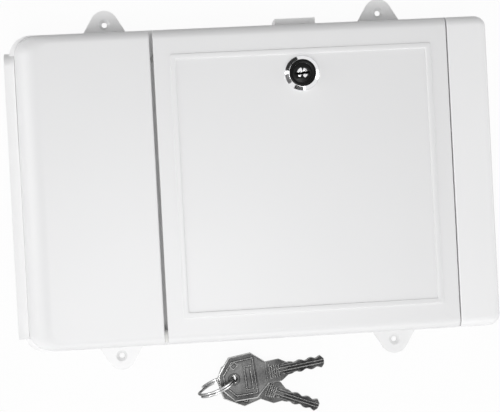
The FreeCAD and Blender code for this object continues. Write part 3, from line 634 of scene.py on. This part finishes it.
makeHousing(housingPlan)
makeFace(facePlan, housingPlan["seatFloor"])
makePlug(plugPlan, lockPlan["at"])
makeInserts(insertPlan, lockPlan["at"])
easedEdges = {"lock_nut": 0.25, "lock_cam": 0.3, "cam_washer": 0.1, "strike_plate": 0.2,
              "hook_rail_top": 0.25, "hook_rail_middle": 0.25, "hook_rail_bottom": 0.25,
              "number_strip_top": 0.12, "number_strip_middle": 0.12, "number_strip_bottom": 0.12,
              "hinge_spacers": 0.2, "door_buffers": 0.4}
for node, width in easedEdges.items():
    addPiece(node + "_eased", softened(node, width * mm), nodeFinish[node], node, smooth=0)
print("lock and small plates made")


# Geometry Nodes: one form repeated at given places

def repeatTree(name):
    tree = bpy.data.node_groups.new(name, "GeometryNodeTree")
    sockets = {"Geometry": "Geometry", "Form": "Object", "Finish": "Material", "Size": "Float",
               "Turn Spread": "Float", "Seed": "Int"}
    for socket, kind in sockets.items():
        tree.interface.new_socket(socket, in_out="INPUT", socket_type="NodeSocket" + kind)
    tree.interface.new_socket("Geometry", in_out="OUTPUT", socket_type="NodeSocketGeometry")
    nodes = tree.nodes
    links = tree.links
    entry = nodes.new("NodeGroupInput")
    leave = nodes.new("NodeGroupOutput")
    source = nodes.new("GeometryNodeObjectInfo")
    place = nodes.new("GeometryNodeInstanceOnPoints")
    turn = nodes.new("FunctionNodeRandomValue")
    turn.data_type = "FLOAT"
    negative = nodes.new("ShaderNodeMath")
    negative.operation = "MULTIPLY"
    negative.inputs[1].default_value = -1
    spin = nodes.new("ShaderNodeCombineXYZ")
    real = nodes.new("GeometryNodeRealizeInstances")
    finish = nodes.new("GeometryNodeSetMaterial")
    links.new(entry.outputs["Geometry"], place.inputs["Points"])
    links.new(entry.outputs["Form"], source.inputs["Object"])
    links.new(source.outputs["Geometry"], place.inputs["Instance"])
    links.new(entry.outputs["Size"], place.inputs["Scale"])
    links.new(entry.outputs["Turn Spread"], negative.inputs[0])
    links.new(negative.outputs[0], turn.inputs[2])
    links.new(entry.outputs["Turn Spread"], turn.inputs[3])
    links.new(entry.outputs["Seed"], turn.inputs["Seed"])
    links.new(turn.outputs[1], spin.inputs[2])
    links.new(spin.outputs[0], place.inputs["Rotation"])
    links.new(place.outputs[0], real.inputs[0])
    links.new(real.outputs[0], finish.inputs["Geometry"])
    links.new(entry.outputs["Finish"], finish.inputs["Material"])
    links.new(finish.outputs[0], leave.inputs[0])
    return tree


repeats = repeatTree("repeat at points")


def repeated(name, form, places, finish, spread=0.0, seed=3, stand=None):
    # the form set at each place, turned about its own axis by up to the spread, then stood up
    points = bpy.data.meshes.new(name + "_points")
    back = stand.inverted() if stand else Matrix()
    points.from_pydata([tuple(back @ (Vector(place) * mm)) for place in places], [], [])
    holder = held(name + "_work", points)
    source = held(name + "_form", form)
    modifier = holder.modifiers.new("repeat", "NODES")
    modifier.node_group = repeats
    inputs = {"Form": source, "Finish": materials[finish], "Size": 1.0, "Turn Spread": spread, "Seed": seed}
    for socket in repeats.interface.items_tree:
        if socket.in_out == "INPUT" and socket.name in inputs:
            modifier[socket.identifier] = inputs[socket.name]
    mesh = applied(holder)
    bpy.data.objects.remove(source)
    if stand:
        mesh.transform(stand)
    return mesh


screwPlan = {"head": 2.9, "thick": 1.8, "slot": 0.8, "slotDeep": 0.6, "pitch": 0.9, "root": 0.82, "tip": 0.7}


def screwForm(plan, shank, length):
    # a slotted pan head on z = 0, with the threaded shank running down from it
    form = bmesh.new()
    head, thick, root = plan["head"], plan["thick"], plan["root"] * shank
    bend = math.degrees(math.asin(plan["slot"] / 2 / head))
    for start in (0, 180):
        half = circle(0, 0, head, 20, start + bend, 180 - 2 * bend)
        prism(form, half, thick - plan["slotDeep"] - 0.02, thick, 0.22, steps=3)
    prism(form, circle(0, 0, head, 36), 0, thick - plan["slotDeep"], 0.08)
    thread = [(0, 0.02), (shank * 0.98, 0.02)]
    turns = max(3, int(length / plan["pitch"]))
    for turn in range(turns):
        down = -(turn + 0.5) * (length - 0.5) / turns
        thread += [(shank, down + 0.15), (shank, down), (root, down - 0.2), (root, down - 0.35)]
    thread += [(shank * plan["tip"], -length), (0, -length)]
    lathe(form, thread, (0, 0), 20)
    return toMesh("screw_form", form)


hookPlan = {"foot": 2.0, "footThick": 0.8, "reach": 10.2, "bend": 1.8, "rise": 1.5, "wire": 0.9}


def hookForm(plan):
    # a round foot, with a straight arm and an upturned end swept as one bent wire
    form = bmesh.new()
    foot, thick, reach, bend = plan["foot"], plan["footThick"], plan["reach"], plan["bend"]
    rim = [(foot - 0.3, thick), (foot - 0.08, thick - 0.1), (foot, thick - 0.3), (foot, 0)]
    lathe(form, [(0, thick), *rim, (0, 0)], (0, 0), 28)
    path = [(0, 0, thick / 2), (0, 0, reach)]
    for turn in (22, 45, 67, 90):
        around = math.radians(turn)
        path.append((0, bend - bend * math.cos(around), reach + bend * math.sin(around)))
    path.append((0, bend + plan["rise"], reach + bend))
    sweep(form, path, plan["wire"], 16)
    bmesh.ops.recalc_face_normals(form, faces=form.faces)
    return toMesh("hook_form", form)


def sweep(form, path, radius, sides):
    # a round wire along the path, with domed ends
    points = [Vector(point) for point in path]
    across = None
    rings = []
    for index, point in enumerate(points):
        ahead = points[min(index + 1, len(points) - 1)] - points[max(index - 1, 0)]
        ahead.normalize()
        if across is None:
            across = ahead.orthogonal().normalized()
        across = (across - ahead * across.dot(ahead)).normalized()
        other = ahead.cross(across)
        steps = [(0, 1)]
        if index == 0:
            steps = [(-0.75, 0.45), (-0.45, 0.85), (0, 1)]
        if index == len(points) - 1:
            steps = [(0, 1), (0.45, 0.85), (0.75, 0.45)]
        for shift, size in steps:
            middle = point + ahead * shift * radius
            around = [across * x + other * y for x, y in circle(0, 0, radius * size, sides)]
            rings.append([form.verts.new((middle + offset) * mm) for offset in around])
    for lower, upper in zip(rings, rings[1:]):
        for index in range(sides):
            after = (index + 1) % sides
            form.faces.new((lower[index], lower[after], upper[after], upper[index]))
    form.faces.new(list(reversed(rings[0])))
    form.faces.new(rings[-1])


railPlan = {"x": [lockPlan["at"][0] + 22 * step for step in (-2.5, -1.5, -0.5, 0.5, 1.5, 2.5)],
            "y": {"top": 55.75, "middle": 9.75, "bottom": -36.25}, "front": 9.5, "screwOut": 7, "hookDown": 3}
railEnds = (railPlan["x"][0] - railPlan["screwOut"], railPlan["x"][-1] + railPlan["screwOut"])
longScrew = {"shank": 1.5, "length": 11.0, "spread": 1.4, "stand": rotation(180, "X", 4), "level": 30.5}
screwPlaces = {
    "rail_screws": {"shank": 1.2, "length": 6.0, "spread": 1.4, "stand": None, "level": railPlan["front"],
                    "at": [(x, y) for y in railPlan["y"].values() for x in railEnds]},
    "left_cover_screws": {**longScrew, "at": coverPlans["left_cover"]["posts"]},
    "right_cover_screws": {**longScrew, "at": coverPlans["right_cover"]["posts"]},
    "strike_screws": {"shank": 1.2, "length": 6.0, "spread": 1.2, "stand": rotation(90, "X", 4), "level": 20,
                      "at": [(20.45, 79.4), (32.45, 79.4)]},
}

for row, y in railPlan["y"].items():
    places = [(x, y - railPlan["hookDown"], railPlan["front"]) for x in railPlan["x"]]
    mesh = repeated("hooks_" + row, hookForm(hookPlan), places, "bright")
    addPiece("hooks_" + row + "_bent", mesh, None, "hooks_" + row)
for node, plan in screwPlaces.items():
    form = screwForm(screwPlan, plan["shank"], plan["length"])
    places = [(x, y, plan["level"]) for x, y in plan["at"]]
    mesh = repeated(node, form, places, "steel", plan["spread"], stand=plan["stand"])
    addPiece(node + "_slotted", mesh, None, node)
print("hooks and screws repeated")


# numbers on the strips

numberPlan = {"size": 3.6, "thick": 0.02, "up": 3, "front": 10.0}


def makeNumbers(plan):
    form = bmesh.new()
    count = 0
    for y in railPlan["y"].values():
        for x in railPlan["x"]:
            count += 1
            text = bpy.data.curves.new("number", "FONT")
            text.body = str(count)
            text.size = plan["size"] * mm
            text.align_x = "CENTER"
            text.align_y = "CENTER"
            text.extrude = plan["thick"] * mm
            mesh = applied(held("number", text))
            mesh.transform(Matrix.Translation(Vector((x, y + plan["up"], plan["front"])) * mm))
            form.from_mesh(mesh)
    return toMesh("strip_numbers", form)


addPiece("strip_numbers", makeNumbers(numberPlan), "ink", body="cabinet", smooth=0)


# split ring and keys

ringPlan = {"centre": (-25.3, -110.15), "turn": 21, "lean": 8, "radius": 10.2, "wire": 0.7,
            "strand": 0.68, "apart": 0.67, "start": 190, "turns": (0.1, 1.8), "steps": 150}
keyPlan = {
    "heading": -7.85, "slope": 9.9, "spread": 14.25, "level": 1.3, "long": 52.2, "half": 3.55, "eye": 1.85,
    "bowThick": 0.9, "neckThick": 0.7, "bladeThick": 0.8, "webThick": 0.3,  # each side of the middle
    "bow": [(-8.2, 3.8), (-1.2, 12.2), (11.4, 12.7), (18.8, 6.35)],
    "neck": [(14.0, 8.2), (18.9, 6.1), (26.6, 6.2), (30.9, 3.5)],
    "cuts": [(4.7, 1.0, 2.2), (10.9, 1.15, 2.5), (17.0, 0.85, 2.2)],  # from the tip, depth, spread
    "ridges": [(26.0, -1.0, 0.6, 1.1, 1.0), (25.0, -2.2, -1.15, -0.65, 0.75), (27.0, -16.2, 2.1, 2.5, 0.45),
               (27.5, -14.2, -2.6, -2.2, 0.35), (27.0, -3.0, 1.25, 1.6, 0.0), (27.0, -3.0, -1.65, -1.3, 0.0)],
    "field": [(-5.8, -3.0), (-0.2, -9.6), (12.0, -10.0), (12.0, 10.0), (-0.2, 9.6), (-5.8, 3.0)],
    "shoulder": [(13.0, -9.9), (17.8, -5.6), (17.8, 5.6), (13.0, 9.9)],
    "frame": (6.0, 10.2, -7.5, 6.0),
    "diamond": [(0.5, 4.9), (3.3, 7.3), (1.4, 9.4), (-1.6, 7.4)],
    "ribs": {"count": 5, "start": 20.2, "step": 1.25, "wide": 0.75},
}


def ringStand(plan):
    stand = rotation(plan["turn"], "Z") @ rotation(90 + plan["lean"], "X")
    axis = stand @ Vector((0, 0, 1))
    outer = plan["radius"] + plan["wire"]
    height = outer * abs((stand @ Vector((0, 1, 0))).z) + 2 * plan["wire"] * abs(axis.z)
    return stand, Vector((*plan["centre"], height))


def makeRing(plan):
    # two close turns of one wire, with a short jog where it steps over itself
    stand, centre = ringStand(plan)
    path = []
    first, turns = plan["turns"]
    for step in range(plan["steps"] + 1):
        turn = first + turns * step / plan["steps"]
        around = math.radians(plan["start"]) + turn * 2 * math.pi
        rise = max(-1, min(1, (turn - 1) / 0.1))
        rise = rise * (1.5 - 0.5 * rise * rise) * plan["apart"]
        spot = Vector((plan["radius"] * math.cos(around), plan["radius"] * math.sin(around), rise))
        path.append(centre + stand @ spot)
    form = bmesh.new()
    sweep(form, path, plan["strand"], 16)
    bmesh.ops.recalc_face_normals(form, faces=form.faces)
    # painted reflection: the wire is painted bright where it faces up and dark along its sides, partly
    # standing for rubbing
    layer = form.loops.layers.float_color.new("wear")
    for face in form.faces:
        for loop in face.loops:
            litAndRubbed = max(0.0, min(1.0, (loop.vert.normal.z - 0.45) / 0.4))
            loop[layer] = (litAndRubbed, litAndRubbed, litAndRubbed, 1)
    return addPiece("split_ring_coil", toMesh("split_ring_coil", form), "wire", "split_ring", smooth=50)


def wavy(plan, start, end, count=44):
    # the bitted edge of the blade: shallow rounded valleys at the cut places
    points = []
    for step in range(count + 1):
        x = start + (end - start) * step / count
        offsets = [((plan["long"] - x - place) / wide, size) for place, size, wide in plan["cuts"]]
        depth = sum(size * math.exp(-offset ** 2 * 1.7) for offset, size in offsets)
        points.append((x, plan["half"] - depth))
    return points


def keyForm(plan):
    # one key flat in its own frame: ring hole at the origin, blade along +X
    form = bmesh.new()
    bow, neck = plan["bowThick"], plan["neckThick"]
    eye = circle(0, 0, plan["eye"], 28)
    # the bow's and neck's bright bevels are painted highlight, partly real rubbing; their flats are painted
    # dark
    prism(form, mirrored(plan["bow"]), -bow, bow, 0.42, [eye], steps=1, wear=(0.1, 1.0, 0.02))
    for flip in (Matrix(), rotation(180, "X", 4)):
        for relief in keyRelief(plan):
            prism(form, sink=flip, **relief)
    prism(form, mirrored(plan["neck"]), -neck, neck, 0.25, wear=(0.12, 0.5, 0.02))
    keyBlade(form, plan)
    return form


def keyBlade(form, plan):
    # two bitted halves, the web that joins them at the bottom of the groove, and the long ridges beside it
    long, blade, web, bow = plan["long"], plan["bladeThick"], plan["webThick"], plan["bowThick"]
    edge = wavy(plan, 29.5, long - 1.9) + [(long - 1.1, 2.6), (long - 0.4, 1.9)]
    upper = [(27.5, 0.5), (long - 0.05, 0.5), (long - 0.05, 1.3)] + list(reversed(edge)) + [(28.5, 3.4)]
    lower = [(28.5, -3.4)] + [(x, -y) for x, y in edge] + [(long - 0.1, -0.5), (27.5, -0.5)]
    for half in (upper, lower):
        # the bevels and ridges are painted bright as highlights, partly real rubbing; the flats and the web
        # in the groove are painted dark as shade
        prism(form, half, -blade, blade, 0.3, wear=(0.05, 0.6, 0.0))
    prism(form, rectangle(24.5, long - 0.1, -0.9, 0.9), -web, web, wear=(0.0, 0.0, 0.0))
    for start, end, low, high, litAndRubbed in plan["ridges"]:
        prism(form, rectangle(start, long + end, low, high), -bow, bow, 0.1, wear=(litAndRubbed, litAndRubbed, 0.05))


def grown(box, amount):
    left, right, low, high = box
    return rectangle(left - amount, right + amount, low - amount, high + amount)


def keyRelief(plan):
    # what stands on one face of the bow: the field and its edge line, a tall frame, a diamond and ribs
    # each layer is an outline, its height, how far its edge is softened, its holes and its brightness, partly
    # real rubbing and partly painted light: raised lines painted bright as highlights, the bands beside and
    # between them painted dark as shadow
    paintedShadow = (0.0, 0.0, 0.0)
    faint = (0.02, 0.02, 0.0)
    field, frame, diamond = plan["field"], plan["frame"], plan["diamond"]
    eye = circle(0, 0, 2.9, 28)
    line = inset(field, 0.5)
    layers = [
        (plan["shoulder"], 0.905, 0.01, [], (0.2, 0.3, 0.0)),
        (field, 0.915, 0.01, [eye], (0.17, 0.4, 0.1)),
        (inset(field, -0.45), 0.93, 0.01, [field], paintedShadow),
        (field, 0.98, 0.05, [line], (0.9, 0.95, 0.2)),
        (line, 0.925, 0.01, [inset(field, 1.0)], faint),
        (grown(frame, 0), 0.98, 0.05, [grown(frame, -0.65)], (1.0, 1.0, 0.2)),
        (grown(frame, -0.65), 0.925, 0.01, [grown(frame, -1.15)], paintedShadow),
        (grown(frame, -1.15), 0.922, 0.01, [], (0.16, 0.2, 0.0)),
        (grown(frame, 0.4), 0.925, 0.01, [grown(frame, 0)], (0.04, 0.04, 0.0)),
        (diamond, 0.95, 0.03, [inset(diamond, 0.45)], (0.65, 0.7, 0.2)),
        (inset(diamond, 0.45), 0.925, 0.01, [inset(diamond, 0.9)], paintedShadow),
        (circle(0, 0, 3.5, 28), 0.935, 0.02, [eye], (0.03, 0.1, 0.0)),
    ]
    reliefs = [{"outline": outline, "low": 0.8, "high": high, "edge": edge, "holes": holes, "wear": wear}
               for outline, high, edge, holes, wear in layers]
    ribs = plan["ribs"]
    for rib in range(ribs["count"]):
        x = ribs["start"] + rib * ribs["step"]
        top = x + ribs["wide"]
        reliefs.append({"outline": rectangle(x, top, -3.9 + 0.12 * rib, 4.2 - 0.3 * rib),
                        "low": 0.6, "high": 0.88, "edge": 0.08, "wear": (1.0, 1.0, 0.0)})
        reliefs.append({"outline": rectangle(top, x + ribs["step"], -3.6 + 0.12 * rib, 3.9 - 0.3 * rib),
                        "low": 0.6, "high": 0.715, "edge": 0.01, "wear": paintedShadow})
    return reliefs


def makeKeys(plan, ring):
    stand, centre = ringStand(ring)
    slope = rotation(plan["heading"], "Z") @ rotation(plan["slope"], "Y")
    hole = centre + stand @ Vector((ring["radius"], 0, 0))
    for node, side in (("key_1", 1), ("key_2", -1)):
        mesh = toMesh(node + "_cut", keyForm(plan))
        turned = slope @ rotation(side * plan["spread"], "Z")
        spot = hole + slope @ Vector((0, 0, side * plan["level"]))
        mesh.transform(Matrix.Translation(spot * mm) @ turned.to_4x4())
        addPiece(node + "_cut", mesh, "key", node, smooth=30)


makeRing(ringPlan)
makeKeys(keyPlan, ringPlan)
print("ring and keys made")


# camera, light and floor

cameraPlan = {"place": (-0.05, -0.0045, 0.7064), "target": (-0.00256, -0.01227, 0.025), "roll": 3.04,
              "lens": 91.6, "sensor": 36}


def makeCamera():
    data = bpy.data.cameras.new("camera")
    data.lens = cameraPlan["lens"]
    data.sensor_width = cameraPlan["sensor"]
    camera = bpy.data.objects.new("camera", data)
    scene.collection.objects.link(camera)
    place = Vector(cameraPlan["place"])
    look = (Vector(cameraPlan["target"]) - place).normalized()
    roll = math.radians(cameraPlan["roll"])
    up = Vector((math.sin(roll), math.cos(roll), 0))
    right = look.cross(up).normalized()
    up = right.cross(look)
    camera.matrix_world = Matrix.Translation(place) @ Matrix((right, up, -look)).transposed().to_4x4()
    scene.camera = camera


lampPlan = [
    {"name": "front", "place": (-0.05, -0.25, 1.33), "size": 0.4, "power": 8.0},
    {"name": "left", "place": (-1.15, 0.0, 0.5), "size": 0.7, "power": 5.6},
    {"name": "low left", "place": (-1.2, 0.0, 0.06), "size": 0.5, "power": 2.4},
    {"name": "right", "place": (1.15, 0.0, 0.5), "size": 0.7, "power": 4.2},
    {"name": "below", "place": (0.0, -1.2, 0.5), "size": 0.7, "power": 6.0},
]


def makeLamps():
    for plan in lampPlan:
        data = bpy.data.lights.new(plan["name"], "AREA")
        data.shape = "SQUARE"
        data.size = plan["size"]
        data.energy = plan["power"]
        lamp = bpy.data.objects.new(plan["name"], data)
        lamp.location = plan["place"]
        lamp.rotation_mode = "QUATERNION"
        lamp.rotation_quaternion = (-Vector(plan["place"])).to_track_quat("-Z", "Y")
        scene.collection.objects.link(lamp)


worldPlan = {"light": 0.14, "seen": 0.86}  # what lights the scene, and what is added where it is seen


def makeWorld():
    world = bpy.data.worlds.new("studio")
    world.use_nodes = True
    scene.world = world
    paint = Paint("studio", (1, 1, 1), tree=world.node_tree)
    seen = paint.seen()
    end = paint.tree.nodes.new("ShaderNodeOutputWorld")
    strength = worldPlan["light"] + worldPlan["seen"] * seen
    back = paint.node("ShaderNodeBackground", values={"Color": (1, 1, 1, 1), "Strength": strength})
    paint.tree.links.new(back.socket, end.inputs[0])


floorPlan = {"half": 3.0, "height": -0.0003, "tone": 0.72, "own": 0.95}


def makeFloor():
    # pale floor: mostly its own white to the camera, so that it stays white and keeps a faint shadow
    half, height = floorPlan["half"], floorPlan["height"]
    mesh = bpy.data.meshes.new("floor")
    corners = [(x, y, height) for x, y in rectangle(-half, half, -half, half)]
    mesh.from_pydata(corners, [], [(0, 1, 2, 3)])
    floor = bpy.data.objects.new("floor", mesh)
    scene.collection.objects.link(floor)
    paint = Paint("floor", [floorPlan["tone"]] * 3, 0.9)
    seen = paint.seen()
    glow = paint.node("ShaderNodeEmission", values={"Color": (1, 1, 1, 1), "Strength": 1.0})
    blend = paint.node("ShaderNodeMixShader", values={0: seen * floorPlan["own"], 2: glow})
    paint.tree.links.new(paint.shader.outputs[0], blend.socket.node.inputs[1])
    paint.tree.links.new(blend.socket, paint.end.inputs[0])
    mesh.materials.append(paint.material)


cardPlan = [
    {"turn": 128, "rise": 12, "away": 0.9, "wide": 1.04, "high": 0.62, "tone": 0.0},
    {"turn": 260, "rise": 12, "away": 0.9, "wide": 0.62, "high": 0.62, "tone": 0.0},
    {"turn": 194, "rise": 12, "away": 0.9, "wide": 0.66, "high": 0.62, "tone": 0.13},
    {"turn": 330, "rise": 66, "away": 1.05, "wide": 0.7, "high": 0.6, "tone": 0.03},
]


def makeCards():
    # dark studio cards that only gloss shows, so that the bright metal has something to reflect
    for index, plan in enumerate(cardPlan):
        half, tall = plan["wide"] / 2, plan["high"] / 2
        mesh = bpy.data.meshes.new("card")
        corners = [(x, y, 0) for x, y in rectangle(-half, half, -tall, tall)]
        mesh.from_pydata(corners, [], [(0, 1, 2, 3)])
        card = bpy.data.objects.new(f"card_{index}", mesh)
        turn, rise = math.radians(plan["turn"]), math.radians(plan["rise"])
        away = Vector((math.cos(turn) * math.cos(rise), math.sin(turn) * math.cos(rise), math.sin(rise)))
        card.location = away * plan["away"]
        card.rotation_mode = "QUATERNION"
        card.rotation_quaternion = (-away).to_track_quat("Z", "Y")
        card.visible_camera = False
        card.visible_diffuse = False
        card.visible_shadow = False
        scene.collection.objects.link(card)
        paint = Paint("card", (0.02, 0.02, 0.02), 0.9)
        paint.finish(Emission_Color=(1, 1, 1, 1), Emission_Strength=plan["tone"])
        mesh.materials.append(paint.material)


makeCamera()
makeCards()
makeLamps()
makeWorld()
makeFloor()
scene.view_settings.view_transform = "Standard"
print("camera, lamps and floor placed")
